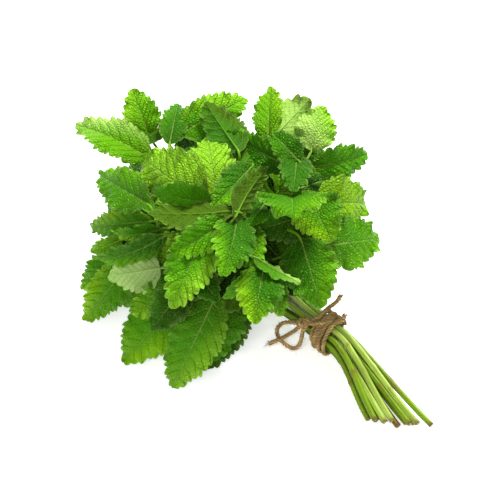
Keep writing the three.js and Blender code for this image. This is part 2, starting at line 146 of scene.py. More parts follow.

# Leaves that show from the front: base and tip (across, up, height), width, roll about the
# midrib, arch, fold, side shown, and the tone at the base and at the tip
# The darker base tones are painted shade, where the base of a leaf lies under the leaves above
leafRows = [
    ((-106, 118, 66), (-116, 145, 82), 23, 0, 0.06, 12, 1, "fresh", "lime"),
    ((-107, 104, 72), (-150, 123, 74), 28, -22, 0.1, 26, 1, "fresh", "pale"),
    ((-93, 113, 76), (-88, 136, 70), 17, 0, 0.05, 10, 1, "deep", "mid"),
    ((-113, 112, 68), (-95, 125, 74), 20, 62, 0.08, 10, -1, "shade", "olive"),
    ((-73, 79, 89), (-111, 104, 79), 38, 10, 0.1, -6, 1, "lime", "lime"),
    ((-69, 77, 96), (-103, 84, 98), 24, 30, 0.1, 14, 1, "mid", "mid"),
    ((-66, 82, 84), (-71, 115, 81), 29, -8, 0.12, 12, 1, "lime", "lime"),
    ((-53, 109, 90), (-73, 138, 80), 25, 0, 0.06, 14, -1, "deep", "olive"),
    ((-85, 119, 72), (-47, 139, 72), 27, 0, 0.06, 8, 1, "mid", "lime"),
    ((-34, 116, 77), (-32, 146, 78), 20, 20, 0.05, 20, 1, "fresh", "glow"),
    ((-30, 117, 73), (-9, 139, 76), 28, 0, 0.06, 10, -1, "pale", "olive"),
    ((-8, 109, 66), (-2, 135, 78), 25, 0, 0.06, 8, 1, "pale", "lime"),
    ((-6, 98, 78), (26, 106, 72), 22, -20, 0.1, 14, 1, "mid", "mid"),
    ((-16, 102, 90), (-32, 119, 94), 17, 0, 0.06, 10, 1, "deep", "mid"),
    ((-17, 103, 86), (-19, 82, 96), 20, 0, 0.08, 8, 1, "deep", "deep"),
    ((-22, 98, 83), (-58, 119, 82), 20, 15, 0.1, 10, 1, "deep", "mid"),
    ((-45, 97, 90), (-68, 73, 98), 20, 0, 0.1, 10, 1, "deep", "fresh"),
    ((-54, 68, 101), (-35, 98, 101), 18, -40, 0.05, 12, -1, "olive", "olive"),
    ((-20, 80, 90), (-19, 66, 101), 42, 0, 0.12, 14, 1, "mid", "fresh"),
    ((-4, 76, 80), (26, 76, 58), 33, 0, 0.1, 10, 1, "glow", "lime"),
    ((-10, 80, 79), (4, 53, 72), 31, 0, 0.1, 10, 1, "mid", "glow"),
    ((-8, 71, 72), (-43, 59, 80), 27, 10, 0.08, 10, 1, "shade", "deep"),
    ((-17, 71, 62), (-22, 49, 66), 25, 0, 0.08, 10, 1, "shade", "shade"),
    ((3, 51, 68), (32, 55, 50), 33, 0, 0.08, -8, 1, "mid", "fresh"),
    ((-14, 53, 76), (-2, 13, 58), 33, 0, 0.1, -8, 1, "deep", "fresh"),
    ((-41, 43, 84), (-14, 29, 80), 13, 60, 0.05, 20, -1, "mid", "pale"),
    ((-37, 36, 80), (-43, 4, 70), 27, 0, 0.1, 10, 1, "deep", "glow"),
    ((-34, 32, 74), (-26, 8, 62), 17, 0, 0.1, 10, 1, "mid", "lime"),
    ((-53, 66, 96), (-62, 32, 92), 26, 15, 0.1, 16, 1, "deep", "fresh"),
    ((-50, 61, 82), (-41, 36, 80), 23, 0, 0.1, 10, 1, "deep", "fresh"),
    ((-60, 65, 98), (-95, 45, 95), 20, 15, 0.12, 14, 1, "mid", "fresh"),
    ((-73, 56, 92), (-92, 13, 78), 28, 0, 0.12, 8, 1, "mid", "lime"),
    ((-57, 71, 102), (-107, 71, 100), 24, -45, 0.05, 12, -1, "olive", "olive"),
    ((-78, 36, 78), (-64, 17, 74), 18, 0, 0.08, 10, 1, "shade", "deep"),
    ((-45, 34, 78), (-62, 19, 76), 14, 50, 0.05, 10, 1, "mid", "fresh"),
    ((-67, 17, 56), (-92, -36, 1), 32, 0, 0.08, -16, 1, "mid", "lime"),
    ((-87, 19, 44), (-121, -19, 2), 35, 0, 0.08, -12, 1, "mid", "glow"),
    ((-83, 28, 70), (-104, 0, 46), 22, 0, 0.08, 10, 1, "shade", "deep"),
    ((-51, 16, 42), (-71, -25, 2), 25, 0, 0.06, 10, -1, "shade", "olive"),
    ((-100, 37, 70), (-130, 32, 60), 25, 0, 0.06, 6, -1, "paintedLitPale", "paintedLitPale"),
    ((-117, 40, 56), (-144, 6, 14), 24, 0, 0.08, -8, 1, "mid", "glow"),
    ((-125, 46, 52), (-145, 25, 22), 17, 0, 0.06, 10, 1, "mid", "lime"),
    ((-97, 56, 86), (-140, 41, 70), 20, 50, 0.08, 10, 1, "deep", "fresh"),
    ((-123, 54, 70), (-141, 47, 58), 12, 20, 0.08, 20, 1, "fresh", "lime"),
    ((-106, 65, 82), (-142, 62, 58), 18, 0, 0.08, 10, 1, "mid", "lime"),
    ((-98, 61, 86), (-129, 58, 76), 15, 50, 0.08, 10, 1, "mid", "lime"),
    ((-105, 73, 68), (-131, 76, 52), 17, 0, 0.06, 10, 1, "mid", "lime"),
    ((-105, 70, 82), (-130, 83, 70), 18, 0, 0.06, 10, -1, "mid", "mid"),
    ((-107, 76, 92), (-135, 93, 72), 26, 0, 0.08, 12, 1, "mid", "fresh"),
]
# Small leaves between those, which only the dressed bunch has; most are painted dark, as painted shade in
# the gaps between the leaves in front
smallRows = [
    ((-47, 28, 70), (-59, 11, 66), 15, 0, 0.06, 10, -1, "olive", "olive"),
    ((-99, 79, 70), (-112, 97, 66), 14, 0, 0.06, 10, 1, "fresh", "fresh"),
    ((-77, 108, 68), (-93, 127, 54), 17, 0, 0.06, 10, 1, "deep", "mid"),
    ((-56, 90, 90), (-38, 114, 82), 18, 0, 0.06, 10, -1, "deep", "olive"),
    ((-37, 75, 86), (-47, 62, 88), 14, 0, 0.06, 10, 1, "deep", "mid"),
    ((-12, 86, 70), (14, 95, 54), 13, 0, 0.06, 10, 1, "deep", "deep"),
    ((-20, 97, 58), (4, 88, 50), 26, 0, 0.06, 10, 1, "shade", "deep"),
    ((-62, 44, 56), (-52, 24, 46), 22, 0, 0.06, 10, 1, "shade", "deep"),
    ((-38, 54, 54), (-22, 38, 46), 22, 0, 0.06, 10, 1, "shade", "deep"),
    ((-112, 59, 50), (-129, 49, 44), 16, 0, 0.06, 10, 1, "shade", "mid"),
    ((-98, 92, 50), (-116, 106, 40), 22, 0, 0.06, 10, 1, "shade", "mid"),
    ((-45, 80, 58), (-26, 67, 50), 24, 0, 0.06, 10, 1, "shade", "deep"),
    ((-30, 88, 58), (-13, 76, 52), 22, 0, 0.06, 10, 1, "shade", "deep"),
    ((-26, 98, 60), (-1, 112, 60), 22, 0, 0.06, 10, 1, "deep", "fresh"),
    ((-68, 34, 50), (-58, 16, 44), 24, 0, 0.06, 10, 1, "shade", "deep"),
    ((-30, 38, 46), (-16, 21, 40), 20, 0, 0.06, 10, 1, "shade", "deep"),
]
backLeaves = {"count": 54, "out": 0.6, "length": 42, "width": 32, "seed": 11}
innerLeaves = {"count": 3, "out": 0.46, "length": 34, "width": 26, "seed": 31}
fillLeaves = {"count": 46, "out": 0.5, "length": 38, "width": 29, "seed": 57}
spread = {
    "goldenAngle": 137.5, "tries": 8, "droop": 0.55, "forwards": 0.7, "outwards": 0.6, "wander": 1.1,
    "leastSize": 0.85, "sizeRange": 0.3, "arch": 0.1, "fold": 10, "hiddenBelow": 0.12, "neckClear": -0.62,
    "innerClear": -0.4, "fillClear": -0.75, "tones": ("mid", "deep", "fresh", "mid", "fresh"),
}
# The outline and bow of every leaf
leafForm = {
    "widestShare": 0.66, "bluntness": 0.7, "lobe": 0.06, "lobeReach": 0.1, "sway": 0.06, "swayWaves": 14.5,
    "lieStep": 1.2,
}


def chance(i, j):
    wild = sin(i * 12.9898 + j * 78.233) * 43758.5453  # a repeatable number from 0 to 1
    return wild - floor(wild)


def ellipsoidPoint(direction, out):
    return direction * bunch["headReach"] * out + bunch["headMiddle"]


def shownLeaf(row, index):
    base, tip, width, roll, arch, fold, side, baseTone, tipTone = row
    start = place(base)
    end = place(tip)
    along = unit(end - start)
    facing = unit(flatten(toViewer, along))
    facing = facing * cos(radians(-roll)) + np.cross(along, facing) * sin(radians(-roll))
    return {
        "from": start, "to": end, "facing": facing * side, "width": width, "arch": arch, "fold": fold,
        "phase": index * 1.7, "lie": (index % 3) * leafForm["lieStep"], "tones": (baseTone, tipTone),
    }


def spreadDirection(kind, k):
    polar = acos(1 - 2 * (k + 0.5) / kind["count"])
    turn = k * radians(spread["goldenAngle"])
    return vec(sin(polar) * cos(turn), cos(polar), sin(polar) * sin(turn))


def spreadLeaf(kind, k, attempt):
    outward = spreadDirection(kind, k)
    start = ellipsoidPoint(outward, kind["out"])
    draws = [chance(k, kind["seed"] + 5 * attempt + j) for j in range(4)]
    wander = vec(*draws[:3]) - 0.5
    along = flatten(vec(0, spread["forwards"], 0), outward) + outward * spread["outwards"]
    along = along + wander * spread["wander"]
    along[2] -= spread["droop"]
    along = unit(along)
    size = spread["leastSize"] + spread["sizeRange"] * draws[3]
    end = start + along * kind["length"] * size
    end[2] = max(end[2], 0)
    facing = unit(flatten(outward + wander * 0.6, along))
    tone = spread["tones"][k % 5]
    return {
        "from": start, "to": end, "facing": facing, "width": kind["width"] * size, "arch": spread["arch"],
        "fold": spread["fold"], "phase": k * 2.3, "lie": (k % 3) * leafForm["lieStep"],
        "tones": (tone, "lime" if k % 3 == 0 else tone),
    }


def isHidden(outward):
    return outward @ toViewer < spread["hiddenBelow"] and outward[1] > spread["neckClear"]


def outline(s):
    widening = np.sin(pi * np.clip(s, 0, 1) ** leafForm["widestShare"])
    return widening ** leafForm["bluntness"]  # half width as a share of the widest


def leafFrame(leaf):
    along = unit(leaf["to"] - leaf["from"])
    facing = unit(flatten(leaf["facing"], along))
    return along, facing, np.cross(along, facing)


def bladePoint(leaf, s, t, sideways=0.0, onwards=0.0):
    along, facing, aside = leafFrame(leaf)
    length = np.linalg.norm(leaf["to"] - leaf["from"])
    half = leaf["width"] / 2 * outline(s)
    fold = radians(leaf["fold"])
    away = np.abs(t)
    lobe = leafForm["lobe"] * length * t * t * np.exp(-s / leafForm["lobeReach"])  # heart-shaped base
    bow = leaf["arch"] * length * 4 * s * (1 - s)
    lift = half * away * sin(fold) * (1 - 0.5 * away)
    waves = np.sin(leafForm["swayWaves"] * s + leaf["phase"] + np.where(t < 0, 2, 0))
    sway = leafForm["sway"] * leaf["width"] * t * t * waves
    x = half * t * cos(fold) + sideways
    y = s * length - lobe + onwards
    z = bow + lift + sway
    return leaf["from"] + y[..., None] * along + x[..., None] * aside + z[..., None] * facing


def samplePoints(leaf):
    s, t = np.meshgrid((0.1, 0.3, 0.5, 0.7, 0.9), (-0.8, 0.0, 0.8), indexing="ij")
    return bladePoint(leaf, s, t).reshape(-1, 3)


def leastDistance(points, others):
    if len(points) == 0 or len(others) == 0:
        return 1e9
    return np.sqrt(((points[:, None] - others[None]) ** 2).sum(2).min())


def roomiest(kind, k, placed):
    ways = [spreadLeaf(kind, k, attempt) for attempt in range(spread["tries"])]
    return max(ways, key=lambda leaf: leastDistance(samplePoints(leaf), placed))


def bezier(a, b, c, d, steps):
    u = np.linspace(0, 1, steps + 1)[:, None]
    return a * (1 - u) ** 3 + b * 3 * u * (1 - u) ** 2 + c * 3 * u * u * (1 - u) + d * u ** 3


def stemRoute(row, index, lowSteps, highSteps):
    degrees, inset, share, height, lean = row
    turn = radians(degrees)
    slot = vec(cos(turn) * inset, 0, sin(turn) * inset + view["tieHeight"])
    end = bunch["cutLine"][0] * (1 - share) + bunch["cutLine"][1] * share + vec(0, 0, height)
    neckLow = slot - vec(0, bunch["neckHalf"], 0)
    neckHigh = slot + vec(0, bunch["neckHalf"], 0)
    end = end + unit((end - neckLow) * vec(1, 1, 0)) * bunch["cutScatter"] * (chance(index, 5) - 0.5)
    tilt = radians(lean)
    outward = vec(sin(tilt) * cos(turn), cos(tilt), sin(tilt) * sin(turn))
    tip = ellipsoidPoint(outward, bunch["tipReach"])
    endBend = end * (1 - bunch["cutBend"]) + neckLow * bunch["cutBend"]
    endBend[2] = height
    low = bezier(end, endBend, neckLow - vec(0, bunch["lowBend"], 0), neckLow, lowSteps)
    tipBend = tip - (outward + vec(0, 1, 0)) * bunch["tipBend"]
    high = bezier(neckHigh, neckHigh + vec(0, bunch["highBend"], 0), tipBend, tip, highSteps)
    return low, high


def filled(route):
    return np.array([route[k] * (1 - u) + route[k + 1] * u
                     for k in range(len(route) - 1) for u in (0, 0.25, 0.5, 0.75)])


def quadratic(a, b, c, u):
    u = np.asarray(u)[..., None]
    return a * (1 - u) ** 2 + b * 2 * u * (1 - u) + c * u * u


# How a petiole bends, and how far it keeps from the stems and from other petioles
petioleForm = {
    "reach": 14, "bendShare": 0.45, "lowest": 0.85, "radius": 0.78, "sides": 10, "steps": 12,
    "loadShare": 1.5, "crowdReach": 3, "crowd": 2, "stemGap": 3.6, "petioleGap": 2.4, "ownGap": 1.9,
}


def petioleBend(start, leaf):
    along = leafFrame(leaf)[0]
    apart = np.linalg.norm(start - leaf["from"])
    bend = leaf["from"] - along * min(petioleForm["reach"], petioleForm["bendShare"] * apart)
    bend[2] = max(bend[2], petioleForm["lowest"] + leaf["lie"])
    return bend


denseRoutes = [filled(np.concatenate(stemRoute(row, k, 3, 7))) for k, row in enumerate(stemRows)]


# The points on the stems where a leaf may join, the handiest first
def joiningSpots(leaf, petioles, loose):
    wanted = leaf["from"] - leafFrame(leaf)[0] * petioleForm["reach"]
    load = [petioleForm["loadShare"] * sum(p["stem"] == k for p in petioles) for k in range(len(stemRows))]
    spots = []
    for stem, route in enumerate(denseRoutes):
        for start in route[4 * bunch["firstLeafyPoint"]:]:
            taken = sum(np.linalg.norm(p["start"] - start) < petioleForm["crowdReach"] for p in petioles)
            if taken < petioleForm["crowd"] or loose:
                spots.append((np.linalg.norm(start - wanted) + load[stem], len(spots), stem, start))
    return sorted(spots, key=lambda spot: spot[:2])


def attach(leaf, petioles, loose=False):
    fallback = None
    for _, _, stem, start in joiningSpots(leaf, petioles, loose):
        bend = petioleBend(start, leaf)
        near = quadratic(start, bend, leaf["from"], np.linspace(0, 1, 13))
        found = {"stem": stem, "start": start, "bend": bend, "near": near, "leaf": leaf}
        if loose:
            return found
        otherStems = np.concatenate([route for k, route in enumerate(denseRoutes) if k != stem])
        others = np.array([q for p in petioles if p["stem"] != stem for q in p["near"]])
        own = np.array([q for p in petioles if p["stem"] == stem for q in p["near"]])
        stemsClear = leastDistance(near, otherStems) > petioleForm["stemGap"]
        if stemsClear and leastDistance(near, others) > petioleForm["petioleGap"]:
            if leastDistance(near[4:], own) > petioleForm["ownGap"]:
                return found
            fallback = fallback or found
    return fallback


def layLeaves():
    leaves = [shownLeaf(row, k) for k, row in enumerate(leafRows)]
    placed = np.concatenate([samplePoints(leaf) for leaf in leaves])
    for kind in (backLeaves, innerLeaves):
        for k in range(kind["count"]):
            outward = spreadDirection(kind, k)
            wanted = isHidden(outward) if kind is backLeaves else outward[1] > spread["innerClear"]
            if wanted:
                leaf = roomiest(kind, k, placed)
                leaves.append(leaf)
                placed = np.concatenate([placed, samplePoints(leaf)])
    petioles = []
    for leaf in leaves:
        found = attach(leaf, petioles)
        if found:
            petioles.append(found)
    return petioles, placed


def addLooseLeaves(petioles, placed):
    extras = [shownLeaf(row, k + 60) for k, row in enumerate(smallRows)]
    for k in range(fillLeaves["count"]):
        outward = spreadDirection(fillLeaves, k)
        if not isHidden(outward) and outward[1] > spread["fillClear"]:
            leaf = roomiest(fillLeaves, k, placed)
            extras.append(leaf)
            placed = np.concatenate([placed, samplePoints(leaf)])
    for leaf in extras:
        petioles.append(attach(leaf, petioles, loose=True))
    return petioles


petioles, placedPoints = layLeaves()
cadLeafCount = len(petioles)
petioles = addLooseLeaves(petioles, placedPoints)
print(f"{cadLeafCount} leaves of the part and {len(petioles) - cadLeafCount} more laid out")


# A bmesh grid moved onto an array of points, rows by columns, with maps and a colour at each
def addSheet(bm, points, maps, colour, slotAt):
    rows, columns = points.shape[:2]
    made = bmesh.ops.create_grid(bm, x_segments=columns - 1, y_segments=rows - 1, size=1)["verts"]
    where = {}
    for vert in made:
        column = round((vert.co.x + 1) / 2 * (columns - 1))
        row = round((vert.co.y + 1) / 2 * (rows - 1))
        where[vert] = (row, column)
        vert.co = points[row, column]
    layers = [(uvLayer(bm, name), table) for name, table in maps.items()]
    tone = bm.loops.layers.float_color.get("tone") or bm.loops.layers.float_color.new("tone")
    faces = {face for vert in made for face in vert.link_faces}
    for face in faces:
        face.smooth = True
        face.material_index = slotAt(min(where[vert][1] for vert in face.verts))
        for loop in face.loops:
            spot = where[loop.vert]
            for layer, table in layers:
                loop[layer].uv = table[spot]
            loop[tone] = colour[spot]
    bmesh.ops.remove_doubles(bm, verts=made, dist=0.004)


def uvLayer(bm, name):
    return bm.loops.layers.uv.get(name) or bm.loops.layers.uv.new(name)


def frameNormals(points):
    down = np.gradient(points, axis=0)
    over = np.gradient(points, axis=1)
    normals = np.cross(over, down)
    size = np.linalg.norm(normals, axis=2, keepdims=True)
    normals = normals / np.maximum(size, 1e-9)
    normals[0] = normals[2]  # the rows at the base and tip have no width to take a normal from
    normals[1] = normals[2]
    normals[-1] = normals[-2]
    return normals


blade = {
    "toothLength": 3.9, "toothedShare": 0.95, "fewestTeeth": 4, "mostTeeth": 13, "rowsPerTooth": 7,
    "plainRows": 5, "toothDepth": 1.9, "toothLean": 0.8, "toothSkew": 1.3, "smallBelow": 34, "columns": 20,
    "thickness": 0.42, "pillow": 0.8, "wrinkle": 0.16, "groove": 0.5, "veinsPerLeaf": 7.5,
    "leastSpacing": 2.4, "veinSlope": 0.85, "veinCurve": 0.9, "ruffle": 0.045, "curl": 0.1,
    "clearance": 0.35, "softness": 0.8, "paintedBaseShade": 0.4, "sunnySide": 0.55, "paleRim": 0.25,
    "innerShade": 0.52, "shadeFrom": 0.92, "shadeReach": 0.45,
}


# Less light reaches deep into the head
def innerLight(points):
    depth = np.linalg.norm((points - bunch["headMiddle"]) / bunch["headReach"], axis=-1)
    shaded = (blade["shadeFrom"] - depth) / blade["shadeReach"]
    return (1 - blade["innerShade"] * np.clip(shaded, 0, 1))[..., None]


# How far each point of the rim is pushed out: round lobes with sharp notches between them
def toothPush(leaf, line, phase, small):
    rows = len(line) - 1
    tooth = np.clip(1 - np.abs(2 * (phase % 1) ** blade["toothSkew"] - 1) ** 2, 0, 1) ** 0.6
    tooth = tooth * np.array([0.75 + 0.5 * chance(floor(p), leaf["phase"]) for p in phase])
    fade = np.clip(line / (2 * blade["plainRows"]), 0.15, 1) * np.clip((rows - line) / 9, 0.45, 1)
    return (tooth - 0.55) * blade["toothDepth"] * small * fade


# The middle surface of a blade, toothed, ruffled at the rim and curled at the tip
def bladeSurface(leaf, length, line, phase, s, t, small):
    rows = len(line) - 1
    push = toothPush(leaf, line, phase, small)[:, None] * np.abs(t) ** 5
    halfWidth = leaf["width"] / 2 * outline(line / rows)
    slope = np.gradient(halfWidth, length / rows)
    steep = np.arctan(np.clip(slope, -6, 6))[:, None]
    sideways = push * np.cos(steep) * np.sign(t)
    onwards = -push * np.sin(steep) + np.maximum(push, 0) * blade["toothLean"]
    middle = bladePoint(leaf, s, t, sideways, onwards)
    facing = leafFrame(leaf)[1]
    wave = np.sin(phase[:, None] * 3.4 + leaf["phase"] * 3 + np.where(t < 0, 1.9, 0))
    ruffle = blade["ruffle"] * leaf["width"] * np.abs(t) ** 3 * wave * np.clip(s * 5, 0, 1)
    curl = blade["curl"] * length * (chance(leaf["phase"], 3) - 0.65) * s ** 4
    middle = middle + (ruffle + curl)[..., None] * facing
    floorLevel = leaf["lie"] + blade["clearance"]  # a leaf flattens where it comes down on the table
    above = (middle[..., 2] - floorLevel) / blade["softness"]
    middle[..., 2] = floorLevel + np.logaddexp(0, above) * blade["softness"]
    return middle, halfWidth[:, None] * t


# Which side vein each point is near, counted from the base
def veinCount(leaf, length, x, y):
    spacing = max(length / blade["veinsPerLeaf"], blade["leastSpacing"])
    veins = (y - blade["veinSlope"] * np.abs(x) - blade["veinCurve"] * x * x / leaf["width"]) / spacing
    return veins + 0.06 * np.sin(x * 0.8 + 2 * leaf["phase"]) + 0.04 * np.sin(y * 0.9 + x * 0.6)


# The blade swells between its side veins and sinks along its midrib
def bladeRelief(veins, ripple, x, s, t, small):
    beat = veins + np.where(x > 0, 0.5, 0)
    margin = 1 - np.abs(t) ** 6
    pillow = (np.abs(np.sin(pi * beat)) ** 0.6 - 0.6) * np.clip(np.abs(x) / 2.5, 0, 1)
    swelling = pillow * blade["pillow"] + ripple * blade["wrinkle"]
    relief = swelling * small * margin * np.sin(pi * s) ** 0.4
    relief -= blade["groove"] * np.exp(-(x / 0.9) ** 2) * (1 - s) * small
    return relief


# Colour from the base tone to the tip tone, with the look of the veins as its fourth value, and painted
# shade towards the base and deep in the head
def bladeColour(leaf, middle, ripple, s, t, shades):
    # Painted light: one side of the blade, picked at random, leans to the tip tone as if the sun fell on
    # that side
    sunny = blade["sunnySide"] * (1 if chance(leaf["phase"], 5) > 0.5 else -1)
    blend = (s - 0.3) * 1.3 + (np.abs(t) - 0.5) * 0.5 + 0.15 * ripple + sunny * t
    blend = np.clip(blend, 0, 1)[..., None]
    baseTone, tipTone = leaf["tones"]
    colour = (linear(baseTone) * (1 - blend) + linear(tipTone) * blend) * shades
    rim = (blade["paleRim"] * np.abs(t) ** 9)[..., None]
    colour = colour * (1 - rim) + linear("pale") * rim
    # Painted shade: the blade is darker towards its base, where the leaves above shade it
    paintedShade = (1 - blade["paintedBaseShade"] * np.clip(1 - s / 0.55, 0, 1) ** 1.5)[..., None]
    paintedShade = paintedShade * innerLight(middle)
    look = veinLook[baseTone] * (1 - blend) + veinLook[tipTone] * blend
    return np.concatenate([colour * paintedShade, look], axis=2)


# A table for the upper face, carried on round the rim and back over the under face
def wrapped(table):
    return np.concatenate([table, table[:, -2::-1]], axis=1)


def addBlade(bm, leaf, shades):
    length = np.linalg.norm(leaf["to"] - leaf["from"])
    teeth = round(length * blade["toothedShare"] / blade["toothLength"])
    teeth = int(min(max(teeth, blade["fewestTeeth"]), blade["mostTeeth"]))
    rows = blade["plainRows"] + teeth * blade["rowsPerTooth"]
    line = np.arange(rows + 1)
    s, t = np.meshgrid(line / rows, np.linspace(-1, 1, blade["columns"] + 1), indexing="ij")
    phase = np.maximum(line - blade["plainRows"], 0) / blade["rowsPerTooth"]
    small = min(1, length / blade["smallBelow"])
    middle, x = bladeSurface(leaf, length, line, phase, s, t, small)
    y = s * length
    veins = veinCount(leaf, length, x, y)
    ripple = np.sin(x * 2.1 + leaf["phase"]) * np.sin(y * 1.9 + 1.3 * leaf["phase"])
    relief = bladeRelief(veins, ripple, x, s, t, small)
    normals = frameNormals(middle)
    half = blade["thickness"] / 2 * (1 - np.abs(t) ** 10) * np.clip(np.sin(pi * s) * 12, 0, 1)
    upper = middle + normals * (relief + half)[..., None]
    lower = middle + normals * (relief - half)[..., None]
    points = np.concatenate([upper, lower[:, -2::-1]], axis=1)
    maps = {
        "leafUv": wrapped(np.stack([x, y], axis=2) / 100),
        "veinUv": wrapped(np.stack([veins, s], axis=2)),
    }
    colour = wrapped(bladeColour(leaf, middle, ripple, s, t, shades))
    addSheet(bm, points, maps, colour, lambda column: 0 if column < blade["columns"] else 1)
    underRib = lower[:, blade["columns"] // 2]
    return underRib[blade["plainRows"] // 2:int(rows * 0.9)]


# A tube along a route: its rings face along it, and its ends close to a point
def addTube(bm, route, radii, shape, colour, guide, slot, turns=0.0, centre=None):
    ahead = np.gradient(route, axis=0)
    ahead = ahead / np.linalg.norm(ahead, axis=1, keepdims=True)
    side = np.cross(ahead, guide)
    side = side / np.maximum(np.linalg.norm(side, axis=1, keepdims=True), 1e-6)
    over = np.cross(ahead, side)
    angles = np.linspace(0, 2 * pi, len(shape) + 1)
    profile = np.append(shape, shape[0])
    reach = radii[:, None] * profile[None]
    steps = np.linalg.norm(np.diff(route, axis=0), axis=1)
    travelled = np.append(0, np.cumsum(steps))
    bent = angles[None] + turns * travelled[:, None]
    points = (route[:, None] + side[:, None] * (reach * np.cos(bent))[..., None]
              + over[:, None] * (reach * np.sin(bent))[..., None])
    # Painted shade: each ply is darker inside the twist and lighter on its outer side
    if centre is not None:
        away = np.linalg.norm(points - centre[:, None], axis=2, keepdims=True)
        colour = colour[:, None] * (0.3 + 0.9 * (away / away.max()) ** 2)  # darker inside the twist
    first = np.repeat(route[:1, None], len(angles), axis=1)
    last = np.repeat(route[-1:, None], len(angles), axis=1)
    points = np.concatenate([first, points, last])
    travelled = np.concatenate([travelled[:1], travelled, travelled[-1:]])
    colour = np.concatenate([colour[:1], colour, colour[-1:]])
    roundUv = np.broadcast_to(angles / (2 * pi), points.shape[:2])
    tubeUv = np.stack([roundUv, np.broadcast_to(travelled[:, None] / 10, points.shape[:2])], axis=2)
    if colour.ndim == 2:
        colour = np.broadcast_to(colour[:, None], points.shape)
    colour = np.concatenate([colour, np.ones(points.shape[:2] + (1,))], axis=2)
    addSheet(bm, points, {"leafUv": tubeUv, "veinUv": tubeUv}, colour, lambda column: slot)


def addPetiole(bm, petiole, underRib, shades):
    leaf = petiole["leaf"]
    u = np.linspace(0, 1, petioleForm["steps"] + 1)
    stalk = quadratic(petiole["start"], petiole["bend"], leaf["from"], u)
    rib = underRib[::4]
    route = np.concatenate([stalk[:-1], rib])
    taper = np.linspace(1, 0.12, len(rib))
    radii = petioleForm["radius"] * np.concatenate([1.2 - 0.25 * u[:-1], 0.72 * taper])
    angles = np.linspace(0, 2 * pi, petioleForm["sides"], endpoint=False)
    facing = leafFrame(leaf)[1]
    shape = 1 - 0.3 * np.exp(-((angles - 1.5 * pi) / 0.55) ** 2)  # a channel along its upper side
    blend = np.linspace(0, 1, len(route))[:, None]
    ribTone = linear("stem") * 0.25 + linear(leaf["tones"][0]) * 0.75
    stalkTone = linear("stem") * 0.6 + linear("mid") * 0.4
    colour = (stalkTone * (1 - blend) + ribTone * blend) * shades * innerLight(route)
    addTube(bm, route, radii, shape, colour, facing, 2)


stemSizes = {
    "radius": 1.9, "tipRadius": 1.2, "sides": 16, "lowSteps": 26, "highSteps": 44,
    "knob": 0.16, "scar": 0.8, "brownedCut": 0.75,
}
stemTones = [
    "stem", "stemDark", "stem", "stemBrown", "stem", "stemPale",
    "stem", "stemPale", "stemPale", "stem", "stemPale", "stem",
]
# The pairs of small leaves that end each stem
tipLeaves = {
    "lengths": (19, 17, 12, 13, 7, 8), "slim": 0.62, "fold": 26, "arch": 0.08, "tones": ("fresh", "lime"),
}


def addStem(bm, index):
    low, high = stemRoute(stemRows[index], index, stemSizes["lowSteps"], stemSizes["highSteps"])
    neck = np.linspace(low[-1], high[0], 8)[1:-1]
    route = np.concatenate([low, neck, high])
    run = unit(route[-1] - route[0])
    guide = vec(1, 0, 0) if abs(run[2]) > 0.8 else vec(0, 0, 1)
    u = np.linspace(0, 1, len(route))
    radii = stemSizes["radius"] + (stemSizes["tipRadius"] - stemSizes["radius"]) * np.clip(u * 2 - 1, 0, 1)
    angles = np.linspace(0, 2 * pi, stemSizes["sides"], endpoint=False)
    shape = 0.7 + 0.3 * np.cos(2 * angles) ** 2  # square, with four ridges
    ridge = np.append(shape, shape[0])[None, :, None] > 0.95
    tinge = (0.25 + 0.35 * np.sin(u * 37 + index * 2.3) * np.sin(u * 11 + index))[:, None, None]
    tone = linear(stemTones[index])
    dark = linear("stemDark")
    shadeAlong = (0.5 + 0.5 * np.sin(u * 23 + index * 1.7))[:, None, None]
    edge = (tone * 0.5 + dark * 0.5) * (1 - tinge) + linear("stemBrown") * tinge
    colour = np.where(ridge, edge, tone * (0.8 + 0.25 * shadeAlong))
    for share in (0.12 + 0.1 * chance(index, 8), 0.24 + 0.08 * chance(index, 9)):
        knob = np.exp(-((u - share) / 0.008) ** 2)  # a joint where leaves were stripped
        radii = radii * (1 + stemSizes["knob"] * knob)
        scar = (stemSizes["scar"] * chance(index, share) ** 2 * knob)[:, None, None]
        colour = colour * (1 - scar) + linear("stemBrown") * scar
    browned = np.clip(1 - u * len(route) / 1.6, 0, 1)[:, None, None] * stemSizes["brownedCut"]
    colour = colour * (1 - browned) + linear("stemBrown") * browned
    addTube(bm, route, radii, shape, colour, guide, 2)


def addTipLeaves(bm, index):
    high = stemRoute(stemRows[index], index, 3, 20)[1]
    ahead = unit(high[-1] - high[-2])
    side = unit(np.cross(ahead, vec(0.3, 0.2, 1)))
    over = np.cross(side, ahead)
    for k, size in enumerate(tipLeaves["lengths"]):
        turn = k * pi / 2 + index + (k // 2) * 0.4
        out = side * cos(turn) + over * sin(turn)
        length = size * (0.9 + 0.3 * chance(index, k))
        along = unit(ahead * (0.5 + 0.35 * (k // 2)) + out)
        start = high[-1] + out * 0.7 + ahead * (k // 2) * 1.4
        leaf = {
            "from": start, "to": start + along * length, "facing": unit(ahead - out * 0.3),
            "width": length * tipLeaves["slim"], "arch": tipLeaves["arch"], "fold": tipLeaves["fold"],
            "phase": k + index, "lie": 0.4, "tones": tipLeaves["tones"],
        }
        addBlade(bm, leaf, 1.0)


# Materials: short helpers for the node trees
def newMaterial(name):
    material = bpy.data.materials.new(name)
    material.use_nodes = True
    nodes = material.node_tree.nodes
    shader = next(node for node in nodes if node.type == "BSDF_PRINCIPLED")
    return material, material.node_tree, shader


def node(tree, kind, **settings):
    made = tree.nodes.new(kind)
    for name, value in settings.items():
        setattr(made, name, value)
    return made


